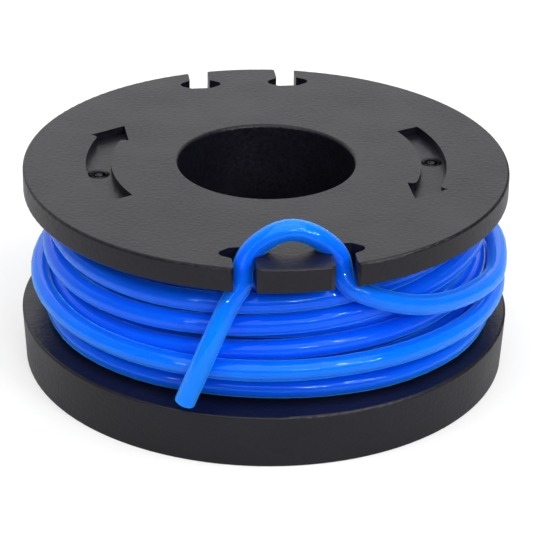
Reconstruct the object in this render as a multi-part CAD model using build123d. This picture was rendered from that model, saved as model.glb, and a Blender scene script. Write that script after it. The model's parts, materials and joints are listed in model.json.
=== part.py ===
"""Trimmer line spool: a moulded two-flange spool, the line wound on it, and the line's free end.

Millimetres, +Z up. The origin is on the spool's axis, at the foot of the lower flange. The notches lie
towards -Y and +Y.
"""
from build123d import *
import math
import os

# Spool body, driving dimensions
height = 21.6
bore_radius = 9.2
hub_wall = 2.0
upper_flange_radius = 25.2
upper_flange_thickness = 2.6
lower_flange_height = 5.7
lower_flange_rim_radius = 25.7
lower_flange_draft = 3.0
lower_flange_plate = 2.45
skirt_wall = 2.0
rim_rounding = 0.25
foot_rounding = 0.15
mouth_rounding = 0.35

# Line
line_diameter = 2.0
line_clearance = 0.1
winding_clearance = 0.05

# T-shaped notches in the upper flange
notch_spacing = 9.75
notch_floor = 19.95
notch_lip = 22.25
notch_arm_middle = 21.1
notch_arm_span = 4.45
notch_arm_rounding = 0.72
notch_corner = 0.3
notch_lead_in = 0.35

# Direction arrows and moulding gates in the upper face
arrow_radius = 17.4
arrow_shaft_width = 2.6
arrow_head_width = 4.3
arrow_corner = 0.6
arrow_depth = 0.9
right_arrow_angles = (23.2, -26.0, -37.5)
left_arrow_angles = (206.7, 155.4, 144.0)
gate_radius = 0.75
gate_depth = 0.35
gate_stub_radius = 0.4
gate_stub_height = 0.3

# Drive dogs under the lower flange
dog_count = 8
dog_width = 1.6
dog_reach = 4.0
dog_foot_gap = 0.5

# Hole in the hub that holds the line's inner end
anchor_height_above_flange = 1.4
anchor_angle = 90.0

# Outermost turns of the winding: the radius of their middles, and each turn's offset from it and rise over
# the lowest turn, both in line diameters
winding_radius = 22.0
turn_offsets = (-0.45, 0.0, 0.78, 0.05, -0.75, 0.03, -0.05)
turn_rises = (0.0, 1.07, 1.6, 2.33, 3.12, 3.9, 4.87)
top_turn_offset = -0.7

# Last turn of the winding, which climbs out of the layer below and becomes the free end
exit_angle = -20.0
exit_radius = 24.55
exit_height = 12.6
root_radius = 21.7
root_height = 10.2
first_run = 3.6

# Free end: corners outside the winding as (x, y, z), and the loop over the tab between the two notches
outgoing_corners = [(18.3, -16.45, 13.3), (13.95, -19.9, 14.3), (9.75, -22.1, 15.5), (5.95, -23.25, 17.0)]
tail_corners = [(-6.85, -23.85, 16.4), (-8.43, -24.2, 12.5), (-10.6, -23.7, 6.9)]
notch_entry_radius = 22.75
notch_entry_drop = 0.45
loop_radius = 21.15
loop_rise = 2.15
loop_half_width = 1.6
loop_spring_depth = 1.4

hub_radius = bore_radius + hub_wall
upper_flange_underside = height - upper_flange_thickness
lower_flange_lean = lower_flange_height * math.tan(math.radians(lower_flange_draft))
lower_flange_foot_radius = lower_flange_rim_radius - lower_flange_lean
line_radius = line_diameter / 2
notch_width = line_diameter + 2 * line_clearance
cut_margin = line_diameter / 2

FOOT = (Align.CENTER, Align.CENTER, Align.MIN)


def polar(radius, degrees):
    """A point of the XY plane by its radius and its angle from +X."""
    angle = math.radians(degrees)
    return (radius * math.cos(angle), radius * math.sin(angle))


def spool_section():
    """Half section of the moulding in the XZ plane: skirt, lower flange, hub and upper flange."""
    ceiling = lower_flange_height - lower_flange_plate
    skirt_inside = lower_flange_foot_radius - skirt_wall
    corners = [
        (bore_radius, 0),
        (hub_radius, 0),
        (hub_radius, ceiling),
        (skirt_inside, ceiling),
        (skirt_inside, 0),
        (lower_flange_foot_radius, 0),
        (lower_flange_rim_radius, lower_flange_height),
        (hub_radius, lower_flange_height),
        (hub_radius, upper_flange_underside),
        (upper_flange_radius, upper_flange_underside),
        (upper_flange_radius, height),
        (bore_radius, height),
    ]
    section = make_face(Polyline(*corners, close=True))
    rims = [v for v in section.vertices() if v.X > skirt_inside + skirt_wall / 2 and v.Y > ceiling]
    section = fillet(rims, rim_rounding)
    feet = [v for v in section.vertices() if v.X > skirt_inside + skirt_wall / 2 and v.Y < foot_rounding]
    section = fillet(feet, foot_rounding)
    mouths = [v for v in section.vertices() if abs(v.X - bore_radius) < foot_rounding]
    return fillet(mouths, mouth_rounding)


def notch_outline():
    """The right front notch: a slot that flares at the rim, and a head whose arms taper to round ends."""
    middle = notch_spacing / 2
    rim = upper_flange_radius + cut_margin
    slot = Pos(middle, -(notch_floor + rim) / 2) * Rectangle(notch_width, rim - notch_floor)
    neck = Pos(middle, -(notch_floor + notch_lip) / 2) * Rectangle(notch_width, notch_lip - notch_floor)
    reach = notch_arm_span / 2 - notch_arm_rounding
    ends = [Pos(middle + x, -notch_arm_middle) * Circle(notch_arm_rounding) for x in (-reach, reach)]
    head = make_hull(neck.edges() + ends[0].edges() + ends[1].edges())
    outline = slot + head
    shoulders = [v for v in outline.vertices() if abs(v.Y + notch_lip) < notch_corner]
    outline = fillet(shoulders, notch_corner)
    for side in (-1, 1):
        x = middle + side * notch_width / 2
        y = -math.sqrt(upper_flange_radius**2 - x**2)
        outline += make_face(Polyline(
            (x, y + notch_lead_in),
            (x + 2 * side * notch_lead_in, y - notch_lead_in),
            (x, y - notch_lead_in),
            close=True,
        ))
    return outline


def arrow_outline(tail, barb, tip):
    """Curved arrow by its angles, clockwise seen from above: a ring sector with a three-cornered head."""
    inner = arrow_radius - arrow_shaft_width / 2
    outer = arrow_radius + arrow_shaft_width / 2
    reach = 2 * upper_flange_radius
    wedge = make_face(Polyline((0, 0), polar(reach, barb), polar(reach, tail), close=True))
    shaft = (Circle(outer) - Circle(inner)) & wedge
    barbs = [polar(arrow_radius + side * arrow_head_width / 2, barb) for side in (-1, 1)]
    outline = shaft + make_face(Polyline(barbs[0], polar(arrow_radius, tip), barbs[1], close=True))
    necks = [Vector(*polar(radius, barb)) for radius in (inner, outer)]
    corners = [
        v for v in outline.vertices() if min((Vector(v.X, v.Y) - n).length for n in necks) < arrow_corner / 2
    ]
    return fillet(corners, arrow_corner)


def drive_dogs():
    """Ribs round the hub, in the hollow under the lower flange, that the trimmer's head drives."""
    ceiling = lower_flange_height - lower_flange_plate
    root = hub_wall / 2
    dog = Pos(hub_radius - root, 0, dog_foot_gap) * Box(
        root + dog_reach,
        dog_width,
        ceiling - dog_foot_gap + lower_flange_plate / 2,
        align=(Align.MIN, Align.CENTER, Align.MIN),
    )
    return [Rot(0, 0, 360 / dog_count * (i + 0.5)) * dog for i in range(dog_count)]


def make_spool_body():
    """The moulding: a turned section with its notches, arrows, gate craters, dogs and line anchor."""
    body = revolve(Plane.XZ * spool_section(), Axis.Z)
    notch_start = upper_flange_underside - cut_margin
    notch = extrude(Pos(0, 0, notch_start) * notch_outline(), upper_flange_thickness + 2 * cut_margin)
    for side in (0, 180):
        body -= Rot(0, 0, side) * notch
        body -= Rot(0, 0, side) * mirror(notch, Plane.YZ)
    floor = height - arrow_depth
    for angles in (right_arrow_angles, left_arrow_angles):
        body -= extrude(Pos(0, 0, floor) * arrow_outline(*angles), arrow_depth + cut_margin)
    for side in (-1, 1):
        crater = Pos(side * arrow_radius, 0, floor - gate_depth)
        body -= crater * Cylinder(gate_radius, gate_depth + arrow_depth, align=FOOT)
        body += crater * Cylinder(gate_stub_radius, gate_stub_height, align=FOOT)
    for dog in drive_dogs():
        body += dog
    anchor = Cylinder(notch_width / 2, 2 * hub_wall, rotation=(0, 90, 0))
    anchor_place = Pos(hub_radius - hub_wall / 2, 0, lower_flange_height + anchor_height_above_flange)
    return body - Rot(0, 0, anchor_angle) * anchor_place * anchor


def winding_rows():
    """Middles of the outermost turns as (radius, height), from the lower flange to the upper one."""
    foot = lower_flange_height + line_radius
    head = upper_flange_underside - winding_clearance - line_radius
    rows = [
        (winding_radius + offset * line_diameter, foot + rise * line_diameter)
        for offset, rise in zip(turn_offsets, turn_rises)
    ]
    return rows + [(winding_radius + top_turn_offset * line_diameter, head)]


def make_line_winding():
    """The wound line as one solid: its turns show as ridges, and the last turn climbs out of them."""
    rows = winding_rows()
    inside = hub_radius + winding_clearance
    foot = lower_flange_height
    head = upper_flange_underside - winding_clearance
    heart = make_face(Polyline(
        (inside, foot), (rows[0][0], foot), *rows, (rows[-1][0], head), (inside, head), close=True
    ))
    section = Sketch() + heart
    for radius, level in rows:
        section += Pos(radius, level) * Circle(line_radius)
    turns = revolve(Plane.XZ * section, Axis.Z)
    return turns + last_turn()


def last_turn():
    """Half a ring, tilted and off centre, from under the ridges to the face where the free end starts."""
    ring_radius = (exit_radius + root_radius) / 2
    off_centre = (exit_radius - root_radius) / 2
    tilt = math.degrees(math.asin((exit_height - root_height) / (2 * ring_radius)))
    ring = revolve(Plane.XZ * Pos(ring_radius, 0) * Circle(line_radius), Axis.Z, 180)
    level = (exit_height + root_height) / 2
    return Rot(0, 0, exit_angle) * Pos(off_centre, 0, level) * Rot(0, -tilt, 0) * ring


def free_end_route():
    """Corners of the free end's route: out of the winding, up one notch, over the tab and down the other."""
    start = (*polar(exit_radius, exit_angle), exit_height)
    heading = polar(first_run, exit_angle - 90)
    leave = (start[0] + heading[0], start[1] + heading[1], exit_height)
    notch = notch_spacing / 2
    seat = (notch_entry_radius + loop_radius) / 2
    entry = upper_flange_underside - notch_entry_drop
    return [
        start,
        leave,
        *outgoing_corners,
        (notch, -notch_entry_radius, entry),
        (notch, -seat, height - loop_spring_depth),
        (notch - line_radius / 2, -loop_radius, height + line_radius / 4),
        (loop_half_width, -loop_radius, height + loop_rise),
        (-loop_half_width, -loop_radius, height + loop_rise),
        (-notch + line_radius / 2, -loop_radius, height + line_radius / 4),
        (-notch, -seat, height - loop_spring_depth),
        (-notch, -notch_entry_radius, entry),
        *tail_corners,
    ]


def bend_radii(route):
    """The largest arc that each corner's two runs leave room for."""
    radii = []
    for before, corner, after in zip(route, route[1:], route[2:]):
        arriving = Vector(*corner) - Vector(*before)
        leaving = Vector(*after) - Vector(*corner)
        turn = math.radians(arriving.get_angle(leaving))
        radii.append(0.45 * min(arriving.length, leaving.length) / math.tan(turn / 2))
    return radii


def make_line_free_end():
    """The free stretch as one tube along straight runs and tangent arcs."""
    route = free_end_route()
    radii = bend_radii(route)
    path = FilletPolyline(*route, radius=radii)
    tube = sweep(Plane(origin=path @ 0, z_dir=path % 0) * Circle(line_radius), path)
    print("free end: length", round(path.length, 2), "radii", [round(r, 1) for r in radii])
    print("free end: volume", round(tube.volume, 2), "section times length",
          round(math.pi * line_radius**2 * path.length, 2))
    return tube


os.makedirs("parts", exist_ok=True)
export_step(make_spool_body(), "parts/spool_body.step")
export_step(make_line_winding(), "parts/line_winding.step")
export_step(make_line_free_end(), "parts/line_free_end.step")
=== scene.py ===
# %% [markdown]
# # A trimmer line spool
# The object is a spool of garden trimmer line: a black plastic moulding with two flanges, and one long blue
# nylon line wound on it. The line's outer end climbs out of the winding, goes up through a notch of the upper
# flange, over the tab beside it and down through the next notch, so that it can't unwind.
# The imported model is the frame. It fixes where everything is, and this file adds the looks.

# %% load the frame
import json
import math

import bpy
import numpy as np
from mathutils import Matrix, Vector

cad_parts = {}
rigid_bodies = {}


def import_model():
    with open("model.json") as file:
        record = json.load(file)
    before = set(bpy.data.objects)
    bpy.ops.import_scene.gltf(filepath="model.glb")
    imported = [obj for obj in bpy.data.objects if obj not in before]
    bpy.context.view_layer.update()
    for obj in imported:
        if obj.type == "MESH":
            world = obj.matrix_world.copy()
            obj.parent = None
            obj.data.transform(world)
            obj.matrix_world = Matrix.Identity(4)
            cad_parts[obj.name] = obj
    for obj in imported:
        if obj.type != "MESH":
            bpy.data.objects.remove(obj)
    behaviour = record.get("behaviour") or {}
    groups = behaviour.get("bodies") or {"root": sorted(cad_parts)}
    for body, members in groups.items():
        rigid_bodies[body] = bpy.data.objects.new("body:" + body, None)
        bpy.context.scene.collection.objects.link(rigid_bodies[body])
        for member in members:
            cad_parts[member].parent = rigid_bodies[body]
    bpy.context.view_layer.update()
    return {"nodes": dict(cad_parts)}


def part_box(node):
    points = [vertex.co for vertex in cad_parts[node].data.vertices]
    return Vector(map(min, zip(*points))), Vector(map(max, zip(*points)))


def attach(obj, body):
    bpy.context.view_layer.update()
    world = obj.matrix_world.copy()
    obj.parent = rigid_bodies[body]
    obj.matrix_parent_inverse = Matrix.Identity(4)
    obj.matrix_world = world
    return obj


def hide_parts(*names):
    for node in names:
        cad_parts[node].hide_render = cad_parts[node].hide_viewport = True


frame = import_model()
print("nodes:", sorted(frame["nodes"]))

# %% [markdown]
# ## Sizes
# Every size comes from the frame or is a real size in millimetres. Blender works in metres, so one constant
# turns millimetres into metres, and the arrays below are in millimetres until they go into a curve or a mesh.

# %% sizes
MM = 0.001
body_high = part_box("spool_body")[1]
height = body_high[2] / MM
line_diameter = 2.0
line_radius = line_diameter / 2
print("spool body:", round(2 * body_high[0] / MM, 2), "mm across,", round(height, 2), "mm high")

# %% [markdown]
# ## The camera
# A picture of a round thing gives its camera away: each circle of the spool shows as an ellipse, and the
# ellipses' sizes and places fix the camera's height and distance. It stands a little to the left of the notches
# and looks down at about 26 degrees through a long lens, so the spool shows almost no perspective.

# %% camera
IMAGE_SIZE = 533
FOCAL_LENGTH_IN_PIXELS = 2400
SENSOR_WIDTH = 36.0
AIM_HEIGHT = 21.42
camera_distance = 249.44
camera_elevation = math.radians(24.294)
camera_azimuth = math.radians(-7.1)
camera_pitch = math.radians(26.788)
camera_yaw = math.radians(-0.0494)
camera_roll = math.radians(0.915)


def make_camera():
    """Stands on a sphere round a point of the upper face's middle, and is aimed by pitch and yaw and rolled."""
    outward = Vector((0, -math.cos(camera_elevation), math.sin(camera_elevation)))
    place = Vector((0, 0, AIM_HEIGHT)) + camera_distance * outward
    back = Vector((
        math.sin(camera_yaw) * math.cos(camera_pitch),
        -math.cos(camera_yaw) * math.cos(camera_pitch),
        math.sin(camera_pitch),
    ))
    level = Vector((math.cos(camera_yaw), math.sin(camera_yaw), 0))
    upright = back.cross(level)
    right = math.cos(camera_roll) * level + math.sin(camera_roll) * upright
    up = math.cos(camera_roll) * upright - math.sin(camera_roll) * level
    aim = Matrix((right, up, back)).transposed().to_4x4()
    camera = bpy.data.objects.new("camera", bpy.data.cameras.new("camera"))
    camera.data.sensor_width = SENSOR_WIDTH
    camera.data.lens = FOCAL_LENGTH_IN_PIXELS / IMAGE_SIZE * SENSOR_WIDTH
    camera.data.clip_start = 0.01
    camera.matrix_world = Matrix.Rotation(camera_azimuth, 4, "Z") @ Matrix.Translation(place * MM) @ aim
    bpy.context.collection.objects.link(camera)
    bpy.context.scene.camera = camera
    return camera


camera = make_camera()
print("camera lens:", round(camera.data.lens, 1), "mm, at", [round(c, 4) for c in camera.matrix_world.translation])

# %% [markdown]
# ## The line's turns
# The whole line is one thing, about four metres long, so it is one curve from its inner end in the hub to its
# bare tip. Its wound part is a coil. Each turn has a seat, a radius and a height, and the coil walks from seat to
# seat as it goes round clockwise. It changes seats at the back of the spool, over a part of a turn, as a line does
# when a machine lays it in rows. The inner layers are stacked rows, and the layers that show are placed turn by turn.

# %% seats of the turns
hub_radius = 11.2
hub_gap = 0.05
layer_step = 1.9
row_count = 6
lowest_row = 6.74
highest_row = 17.9
inner_layers = 4

rows_upward = np.linspace(lowest_row, highest_row, row_count)
seats = []
for layer in range(inner_layers):
    radius = hub_radius + hub_gap + line_radius + layer * layer_step
    rows = rows_upward if layer % 2 == 0 else rows_upward[::-1]
    seats += [(radius, row) for row in rows]
seats += [(19.35, 7.75), (20.3, 10.1), (20.5, 12.94), (20.15, 15.45), (18.9, 16.85)]
print("turns in the inner layers:", len(seats))

# %% [markdown]
# The outer layer was wound by hand over the rest, so its turns wander. Each has a radius and a height at ten angles
# round the spool. Angles are in degrees from +X: the front is at -90, the left side at -180 and the right side at 0.

# %% turns of the outer layer
stations = np.array([-195, -165, -145, -125, -100, -75, -50, -25, 0, 60])
outer_radius = np.array([
    (20.4, 20.4, 20.4, 20.4, 20.4, 20.2, 19.8, 19.8, 20.0, 20.4),
    (21.9, 21.9, 21.9, 21.9, 21.9, 21.7, 21.3, 21.4, 21.8, 21.9),
    (22.3, 22.4, 22.2, 22.1, 21.95, 21.9, 21.8, 22.0, 22.4, 22.2),
    (21.7, 21.6, 21.6, 21.8, 21.95, 22.0, 22.0, 22.1, 22.3, 22.1),
    (20.9, 20.9, 20.9, 21.4, 22.0, 22.0, 22.0, 22.0, 22.0, 21.6),
    (22.1, 22.45, 22.7, 21.95, 21.25, 22.1, 23.1, 23.15, 23.0, 22.0),
])
outer_height = np.array([
    (17.9, 17.9, 17.9, 17.9, 17.9, 17.9, 17.9, 17.9, 17.9, 17.9),
    (16.3, 15.85, 15.56, 15.76, 16.27, 16.67, 17.1, 17.2, 17.1, 16.5),
    (13.15, 12.9, 12.95, 13.34, 13.98, 14.41, 15.1, 15.2, 15.1, 14.2),
    (9.6, 9.55, 9.85, 10.25, 11.35, 11.54, 11.7, 11.67, 11.6, 10.9),
    (8.0, 8.0, 8.1, 8.4, 8.85, 8.85, 8.85, 8.85, 8.85, 8.5),
    (6.76, 6.76, 6.76, 6.76, 6.8, 6.76, 6.76, 6.76, 6.76, 6.76),
])
inner = np.array(seats)
turn_radius = np.vstack([np.repeat(inner[:, :1], len(stations), axis=1), outer_radius])
turn_height = np.vstack([np.repeat(inner[:, 1:], len(stations), axis=1), outer_height])
turn_count = len(turn_radius)
print("turns in all the layers:", turn_count)

# %% [markdown]
# The last turn lies proud of the layer below. It climbs out at the back right, sags a little to the right, runs
# round the front and the left, and rises at the back towards the notch. It is given by stations: an angle, a radius
# and a height. Angles are in degrees from +X, and they fall as the line goes round clockwise.

# %% stations of the proud turn
proud_turn = np.array([
    (115, 22.2, 6.76),
    (85, 23.0, 7.1),
    (50, 23.9, 8.0),
    (25, 24.3, 8.7),
    (0, 24.45, 9.1),
    (-25, 24.45, 9.4),
    (-50, 24.15, 9.75),
    (-75, 23.8, 9.92),
    (-100, 23.73, 9.86),
    (-125, 23.72, 9.68),
    (-145, 23.75, 9.6),
    (-165, 23.75, 9.7),
    (-195, 23.7, 9.9),
    (-240, 24.1, 10.9),
    (-270, 24.4, 11.4),
    (-330, 24.45, 12.1),
    (-362, 24.25, 12.5),
])
print("proud turn: from", proud_turn[0, 0], "to", proud_turn[-1, 0], "degrees")

# %% [markdown]
# The free end isn't coiled, so its route is a short list of given corners: off the coil, up the right
# notch, over the tab, down the left notch and out to the bare tip.

# %% route of the free end
free_end = np.array([
    (23.22, -8.43, 12.59),
    (21.89, -11.78, 12.61),
    (17.97, -16.46, 13.18),
    (13.64, -19.91, 14.3),
    (9.93, -21.91, 15.89),
    (6.85, -22.75, 17.4),
    (4.96, -22.1, 18.3),
    (4.88, -21.25, 20.0),
    (4.2, -21.11, 21.6),
    (1.4, -21.15, 23.68),
    (-1.25, -21.2, 23.92),
    (-4.05, -21.05, 21.8),
    (-4.93, -21.85, 20.25),
    (-4.89, -22.51, 18.75),
    (-6.1, -22.95, 17.5),
    (-8.45, -24.12, 12.57),
    (-10.59, -23.7, 6.9),
])
print("free end:", len(free_end), "corners")

# %% [markdown]
# A smooth spline pulls inside its control points. On a circle of n control points it shrinks by the cosine of half
# a step, so the coil's control points stand that much further out, and the turns come out at their real radius.

# %% coil
POINTS_PER_TURN = 16
ANCHOR_ANGLE = 90.0
COIL_START = ANCHOR_ANGLE - 25
COIL_END = 140 - 360 * turn_count
SEAT_CHANGE = 0.12
spread = 1 / math.cos(math.pi / POINTS_PER_TURN)


def around(angle, radius, level):
    """Points by angle in degrees, radius and height: x and y are the radius times the angle's cosine and sine."""
    turn = np.radians(angle)
    return np.stack([radius * spread * np.cos(turn), radius * spread * np.sin(turn), level], axis=1)


def read_table(table, turn, angle):
    """The table's value at each angle, mixed between the whole turns below and above each fractional turn number."""
    columns = np.array([np.interp(angle, stations, row, period=360) for row in table])
    below = np.floor(turn).astype(int)
    above = np.minimum(below + 1, len(table) - 1)
    point = np.arange(len(angle))
    return columns[below, point] + (turn - below) * (columns[above, point] - columns[below, point])


def slow_wave(t, size, per_turn, start):
    """A sine of the turn number: its size in millimetres, its waves per turn and its angle at the anchor."""
    return size * np.sin(2 * np.pi * per_turn * t + start)


def wound_turns():
    """Radius and height follow the turns' tables, and ease from one turn to the next at the back.

    Turn number t gives the angle, a full circle less for each turn. The seat's number is the whole part of t plus
    a smooth step that rises from 0 to 1 over the seat change. Two slow waves of t keep the rows from being perfect.
    """
    count = int(round((COIL_START - COIL_END) / 360 * POINTS_PER_TURN))
    angle = np.linspace(COIL_START, COIL_END, count)
    t = (ANCHOR_ANGLE - angle) / 360
    whole = np.floor(t + SEAT_CHANGE)
    ease = np.clip((t + SEAT_CHANGE - whole) / (2 * SEAT_CHANGE), 0, 1)
    seat = np.clip(whole - 1 + ease * ease * (3 - 2 * ease), 0, turn_count - 1)
    radius = read_table(turn_radius, seat, angle) + slow_wave(t, size=0.04, per_turn=1.37, start=0)
    level = read_table(turn_height, seat, angle) + slow_wave(t, size=0.03, per_turn=0.73, start=1)
    return around(angle, radius, level)


def proud_points():
    """The proud turn's stations, read at even steps of the angle."""
    count = int((proud_turn[0, 0] - proud_turn[-1, 0]) / 360 * POINTS_PER_TURN)
    angle = np.linspace(proud_turn[0, 0], proud_turn[-1, 0], count)
    rising = proud_turn[::-1]
    radius = np.interp(angle, rising[:, 0], rising[:, 1])
    level = np.interp(angle, rising[:, 0], rising[:, 2])
    return around(angle, radius, level)


inner_end = np.array([(0, 9.8, 7.1), (0, 11.4, 7.05), (1.6, 12.35, 6.85)])
route = np.concatenate([inner_end, wound_turns(), proud_points(), free_end])
print("line: control points", len(route))

# %% [markdown]
# The curve gets a round bevel of the line's radius and closed caps, so its tip is cut square, as with a cutter. Every
# corner carries a thickness of its own: the line measures 3% over its stated diameter, and it is squeezed a little
# wider where it is folded over the tab, from the ninth to the sixth corner before the tip.

# %% line
MEASURED_THICKNESS = 1.03
FOLDED_THICKNESS = 1.1
FOLDED_CORNERS = slice(-9, -5)


def make_line(points):
    """One open NURBS spline through the whole route, in metres, with a round section."""
    data = bpy.data.curves.new("trimmer_line", "CURVE")
    data.dimensions = "3D"
    data.resolution_u = 4
    data.bevel_depth = 1.0
    data.bevel_resolution = 6
    data.use_fill_caps = True
    spline = data.splines.new("NURBS")
    spline.points.add(len(points) - 1)
    spline.points.foreach_set("co", np.column_stack([points * MM, np.ones(len(points))]).ravel())
    thickness = np.full(len(points), MEASURED_THICKNESS)
    thickness[FOLDED_CORNERS] = FOLDED_THICKNESS
    spline.points.foreach_set("radius", thickness * line_radius * MM)
    spline.order_u = 3
    spline.use_endpoint_u = True
    spline.use_smooth = True
    line = bpy.data.objects.new("trimmer_line", data)
    bpy.context.collection.objects.link(line)
    return line


line = make_line(route)
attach(line, "root")
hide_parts("line_winding", "line_free_end")

# %% [markdown]
# ## Finishes
# Colours are written as they look on a screen, and one function turns them into the linear values that a shader
# works with. One small function adds a node with its settings and links.

# %% colour and node helpers


def linear(hex_colour):
    """An sRGB hex colour as linear red, green, blue and full alpha."""
    channels = np.array([int(hex_colour[i:i + 2], 16) for i in (1, 3, 5)]) / 255
    values = np.where(channels <= 0.04045, channels / 12.92, ((channels + 0.055) / 1.055) ** 2.4)
    return (*values.tolist(), 1.0)


def node(tree, kind, settings=None, inputs=None, links=None):
    """Adds a node: settings are its properties, inputs its values, links the outputs that feed its inputs."""
    made = tree.nodes.new(kind)
    for name, value in (settings or {}).items():
        setattr(made, name, value)
    for name, value in (inputs or {}).items():
        made.inputs[name].default_value = value
    for name, output in (links or {}).items():
        tree.links.new(output, made.inputs[name])
    return made


def new_material(name):
    """An empty node material and its output."""
    material = bpy.data.materials.new(name)
    material.use_nodes = True
    material.node_tree.nodes.clear()
    return material, material.node_tree, material.node_tree.nodes.new("ShaderNodeOutputMaterial")


print("mid grey in linear light:", [round(c, 4) for c in linear("#808080")[:3]])

# %% [markdown]
# ### Moulded black plastic
# The spool is injection moulded in black polypropylene. The mould was spark eroded, so the surface has a fine grain,
# which is stronger in some patches than in others, and it spreads reflections: a face looks dark grey where it sees
# the bright wall, and black where it doesn't. The plastic came in through two gates, one in each arrow, and they
# were broken off, so the plastic is torn there.

# %% moulded black plastic
GRAIN_SIZE = 0.45
MOTTLE_SIZE = 6.0
TEAR_SIZE = 0.5
TEAR_INNER_EDGE, TEAR_OUTER_EDGE = 0.6, 1.2
GATE_RADIUS = 17.4
GATE_DEPTH = 1.1


def moulded_plastic():
    """Near black with a patchy grain in its colour, gloss and relief, and torn where the gates were broken off.

    The patches are the fine grain times a slow mottle. A point's distance from the nearer gate is the length of
    (|x| less the gates' distance from the axis, y, z less the gates' height), and the tear's relief fades out beyond
    the crater's edge.
    """
    material, tree, output = new_material("moulded_black_polypropylene")
    place = node(tree, "ShaderNodeTexCoord").outputs["Object"]
    grain = node(tree, "ShaderNodeTexNoise", inputs={"Scale": 1 / (GRAIN_SIZE * MM), "Detail": 3.0},
                 links={"Vector": place}).outputs["Fac"]
    mottle = node(tree, "ShaderNodeTexNoise", inputs={"Scale": 1 / (MOTTLE_SIZE * MM), "Detail": 4.0},
                  links={"Vector": place}).outputs["Fac"]
    patches = node(tree, "ShaderNodeMath", {"operation": "MULTIPLY"}, links={0: grain, 1: mottle}).outputs["Value"]
    colour = node(tree, "ShaderNodeMix", {"data_type": "RGBA"},
                  {"A": linear("#07070c"), "B": linear("#1f1f2c")}, {"Factor": patches}).outputs["Result"]
    gloss = node(tree, "ShaderNodeMapRange", inputs={"To Min": 0.3, "To Max": 0.62},
                 links={"Value": patches}).outputs["Result"]
    apart = node(tree, "ShaderNodeSeparateXYZ", links={"Vector": place}).outputs
    aside = node(tree, "ShaderNodeMath", {"operation": "ABSOLUTE"}, links={0: apart["X"]}).outputs["Value"]
    across = node(tree, "ShaderNodeMath", {"operation": "SUBTRACT"}, {1: GATE_RADIUS * MM},
                  {0: aside}).outputs["Value"]
    upward = node(tree, "ShaderNodeMath", {"operation": "SUBTRACT"}, {1: (height - GATE_DEPTH) * MM},
                  {0: apart["Z"]}).outputs["Value"]
    offset = node(tree, "ShaderNodeCombineXYZ", links={"X": across, "Y": apart["Y"], "Z": upward}).outputs["Vector"]
    from_gate = node(tree, "ShaderNodeVectorMath", {"operation": "LENGTH"}, links={0: offset}).outputs["Value"]
    at_gate = node(tree, "ShaderNodeMapRange", {"interpolation_type": "SMOOTHSTEP"},
                   {"From Min": TEAR_INNER_EDGE * MM, "From Max": TEAR_OUTER_EDGE * MM, "To Min": 1.0, "To Max": 0.0},
                   {"Value": from_gate}).outputs["Result"]
    ragged = node(tree, "ShaderNodeTexNoise", inputs={"Scale": 1 / (TEAR_SIZE * MM)},
                  links={"Vector": place}).outputs["Fac"]
    tear = node(tree, "ShaderNodeMath", {"operation": "MULTIPLY"}, links={0: ragged, 1: at_gate}).outputs["Value"]
    torn = node(tree, "ShaderNodeBump", inputs={"Strength": 1.0, "Distance": 0.8 * MM},
                links={"Height": tear}).outputs["Normal"]
    relief = node(tree, "ShaderNodeBump", inputs={"Strength": 0.6, "Distance": 0.15 * MM},
                  links={"Height": patches, "Normal": torn}).outputs["Normal"]
    shader = node(tree, "ShaderNodeBsdfPrincipled", inputs={"IOR": 1.5, "Specular IOR Level": 0.38},
                  links={"Base Color": colour, "Roughness": gloss, "Normal": relief})
    tree.links.new(shader.outputs["BSDF"], output.inputs["Surface"])
    return material


def dress(piece, material):
    """Gives the piece this one material."""
    piece.data.materials.clear()
    piece.data.materials.append(material)


dress(frame["nodes"]["spool_body"], moulded_plastic())
print("spool body: moulded black plastic, grain", GRAIN_SIZE, "mm")

# %% [markdown]
# ### Nylon line
# Trimmer line is extruded nylon, coloured right through. Light goes a little way under its skin, so even its shade is
# blue. Its blue carries painted light and shade: a deeper blue painted as shade on the hub, where turn lies against
# turn, and a lighter blue painted as light where the line stands free and light comes at it from all round. The skin
# is glossy and a little wavy, so it breaks the small lamps' reflections into short dashes, and its own blue tints
# what it mirrors and glows along its edges.

# %% extruded nylon
STREAK_SIZE = 3.5
# Radii and heights where the painted shade of the packed turns gives way to the painted light of the free line.
PAINTED_SHADE_RADIUS, PAINTED_LIGHT_RADIUS = 23.2, 26.0
PAINTED_SHADE_HEIGHT, PAINTED_LIGHT_HEIGHT = 21.4, 25.5


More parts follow.
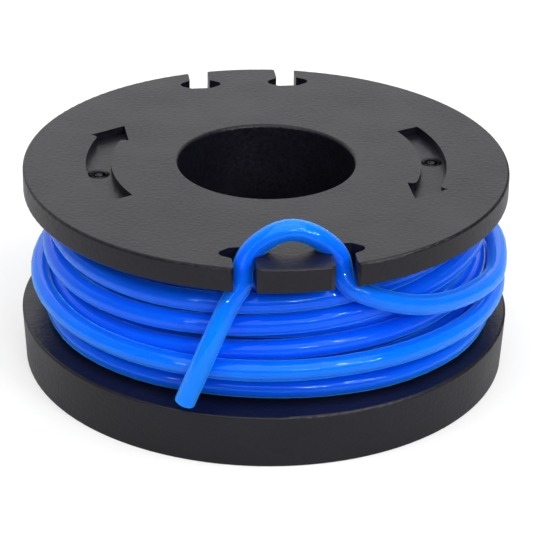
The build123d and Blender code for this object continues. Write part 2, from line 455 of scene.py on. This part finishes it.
def extruded_nylon():
    """A painted shade of deep blue on the hub and a painted light of lighter blue where the line stands free, with
    light under a glossy, wavy skin.

    The painted light follows how free the line stands: the larger of two rises, one with the distance from the axis,
    past the packed turns, and one with the height, above the upper flange.
    """
    material, tree, output = new_material("extruded_blue_nylon")
    place = node(tree, "ShaderNodeTexCoord").outputs["Object"]
    waves = node(tree, "ShaderNodeTexNoise", inputs={"Scale": 1 / (STREAK_SIZE * MM), "Detail": 2.0},
                 links={"Vector": place}).outputs["Fac"]
    apart = node(tree, "ShaderNodeSeparateXYZ", links={"Vector": place}).outputs
    flat = node(tree, "ShaderNodeCombineXYZ", links={"X": apart["X"], "Y": apart["Y"]}).outputs["Vector"]
    radius = node(tree, "ShaderNodeVectorMath", {"operation": "LENGTH"}, links={0: flat}).outputs["Value"]
    painted_light_outward = node(tree, "ShaderNodeMapRange", inputs={"From Min": PAINTED_SHADE_RADIUS * MM, "From Max": PAINTED_LIGHT_RADIUS * MM},
                   links={"Value": radius}).outputs["Result"]
    above = node(tree, "ShaderNodeMapRange", inputs={"From Min": PAINTED_SHADE_HEIGHT * MM, "From Max": PAINTED_LIGHT_HEIGHT * MM},
                 links={"Value": apart["Z"]}).outputs["Result"]
    # Painted light and shade: a deeper blue is painted as shade on the packed turns, and a lighter blue as light
    # where the line stands free.
    free = node(tree, "ShaderNodeMath", {"operation": "MAXIMUM"}, links={0: painted_light_outward, 1: above}).outputs["Value"]
    body = node(tree, "ShaderNodeMix", {"data_type": "RGBA"},
                {"A": linear("#0064fc"), "B": linear("#0086ff")}, {"Factor": free}).outputs["Result"]
    colour = node(tree, "ShaderNodeMix", {"data_type": "RGBA", "blend_type": "MULTIPLY"}, {"B": linear("#e4eaf4")},
                  {"Factor": waves, "A": body}).outputs["Result"]
    relief = node(tree, "ShaderNodeBump", inputs={"Strength": 0.05, "Distance": 0.1 * MM},
                  links={"Height": waves}).outputs["Normal"]
    shader = node(tree, "ShaderNodeBsdfPrincipled", inputs={
        "IOR": 1.53, "Specular IOR Level": 0.5, "Specular Tint": linear("#b0d6ff"), "Roughness": 0.06,
        "Subsurface Weight": 0.5, "Subsurface Radius": (0.3, 0.6, 1.0), "Subsurface Scale": 0.8 * MM,
        "Sheen Weight": 1.0, "Sheen Roughness": 0.38, "Sheen Tint": linear("#54bcff"),
    }, links={"Base Color": colour, "Normal": relief})
    tree.links.new(shader.outputs["BSDF"], output.inputs["Surface"])
    return material


dress(line, extruded_nylon())
print("line: extruded blue nylon")

# %% [markdown]
# ## Floor and light
# The spool stands on a small white floor in a white room. The floor is a plain matt white that takes the spool's
# shadow, and it adds a glow that only the camera sees, so that it can look white without more light on the spool.

# %% floor
FLOOR_SIZE = 0.4
FLOOR_DROP = 0.02
FLOOR_GLOW = 0.41


def make_floor():
    """A square sheet under the spool, a hair below its foot."""
    half = FLOOR_SIZE / 2
    corners = np.array([(-half, -half), (half, -half), (half, half), (-half, half)])
    mesh = bpy.data.meshes.new("floor")
    mesh.from_pydata(np.column_stack([corners, np.full(4, -FLOOR_DROP * MM)]).tolist(), [], [(0, 1, 2, 3)])
    floor = bpy.data.objects.new("floor", mesh)
    bpy.context.collection.objects.link(floor)
    material, tree, output = new_material("white_floor")
    path = node(tree, "ShaderNodeLightPath").outputs
    matt = node(tree, "ShaderNodeBsdfDiffuse", inputs={"Color": linear("#c4c4c4")})
    glow = node(tree, "ShaderNodeEmission", links={
        "Strength": node(tree, "ShaderNodeMath", {"operation": "MULTIPLY"}, {1: FLOOR_GLOW},
                         {0: path["Is Camera Ray"]}).outputs[0]})
    both = node(tree, "ShaderNodeAddShader", links={0: matt.outputs[0], 1: glow.outputs[0]})
    tree.links.new(both.outputs[0], output.inputs["Surface"])
    dress(floor, material)
    return floor


make_floor()
print("floor:", FLOOR_SIZE, "m square")

# %% [markdown]
# The room's wall behind the spool is bright, which gives the upper face its sheen, and the side behind the camera is
# dim, so that it doesn't veil the line's blue. Two soft boxes, in front and overhead, and a panel at the back light
# the spool. Two fills light the ends of the turns and don't show in reflections. Four small lamps make the short
# bright dashes on the line.

# %% light
ROOM_BRIGHT = 0.8
ROOM_DIM = 0.15
BRIGHT_SIDE = (0, 0.9, 0.35)


def light_room():
    """The world: white to the camera, and otherwise bright above and behind the spool and dim behind the camera."""
    world = bpy.data.worlds.new("white_room")
    bpy.context.scene.world = world
    world.use_nodes = True
    tree = world.node_tree
    tree.nodes.clear()
    way = node(tree, "ShaderNodeTexCoord").outputs["Generated"]
    toward = node(tree, "ShaderNodeVectorMath", {"operation": "DOT_PRODUCT"}, {1: BRIGHT_SIDE},
                  {0: way}).outputs["Value"]
    room = node(tree, "ShaderNodeMapRange", inputs={
        "From Min": 0.3, "From Max": 0.9, "To Min": ROOM_DIM, "To Max": ROOM_BRIGHT,
    }, links={"Value": toward}).outputs["Result"]
    seen = node(tree, "ShaderNodeLightPath").outputs["Is Camera Ray"]
    strength = node(tree, "ShaderNodeMapRange", inputs={"To Max": 1.0},
                    links={"Value": seen, "To Min": room}).outputs["Result"]
    background = node(tree, "ShaderNodeBackground", inputs={"Color": (1, 1, 1, 1)}, links={"Strength": strength})
    return node(tree, "ShaderNodeOutputWorld", links={"Surface": background.outputs[0]})


def lamp(name, azimuth, elevation, distance, width, tall, power):
    """A flat lamp, aimed at the spool's middle. Its azimuth runs from the front (-Y) to the right, in degrees."""
    turn, rise = math.radians(azimuth), math.radians(elevation)
    outward = Vector((math.sin(turn) * math.cos(rise), -math.cos(turn) * math.cos(rise), math.sin(rise)))
    made = bpy.data.objects.new(name, bpy.data.lights.new(name, "AREA"))
    made.data.shape = "RECTANGLE"
    made.data.size, made.data.size_y = width, tall
    made.data.energy = power
    made.location = Vector((0, 0, height * MM / 2)) + distance * outward
    made.rotation_euler = outward.to_track_quat("Z", "Y").to_euler()
    bpy.context.collection.objects.link(made)
    return made


light_room()
lamp("front_soft_box", -5, 60, 0.9, 1.2, 1.2, 5.4)
lamp("overhead_soft_box", 170, 85, 0.9, 0.8, 0.8, 1.6)
lamp("back_panel", 173, 28, 0.9, 0.8, 0.4, 0.5)
for side in (-1, 1):
    lamp(f"side_fill_{side}", 75 * side, 46, 0.7, 0.3, 0.3, 1.4).visible_glossy = False
lamp("front_strip", 11, 25, 0.6, 0.12, 0.01, 0.5)
lamp("right_strip", 37, 27, 0.6, 0.2, 0.01, 0.6)
lamp("right_upper_lamp", 33, 43, 0.6, 0.04, 0.05, 0.25)
lamp("left_strip", -46, 25, 0.6, 0.06, 0.01, 0.2)
bpy.context.scene.view_settings.view_transform = "Standard"
print("light: a room of", ROOM_DIM, "to", ROOM_BRIGHT, "and", len(bpy.data.lights), "lamps")

# %% update the scene
bpy.context.view_layer.update()
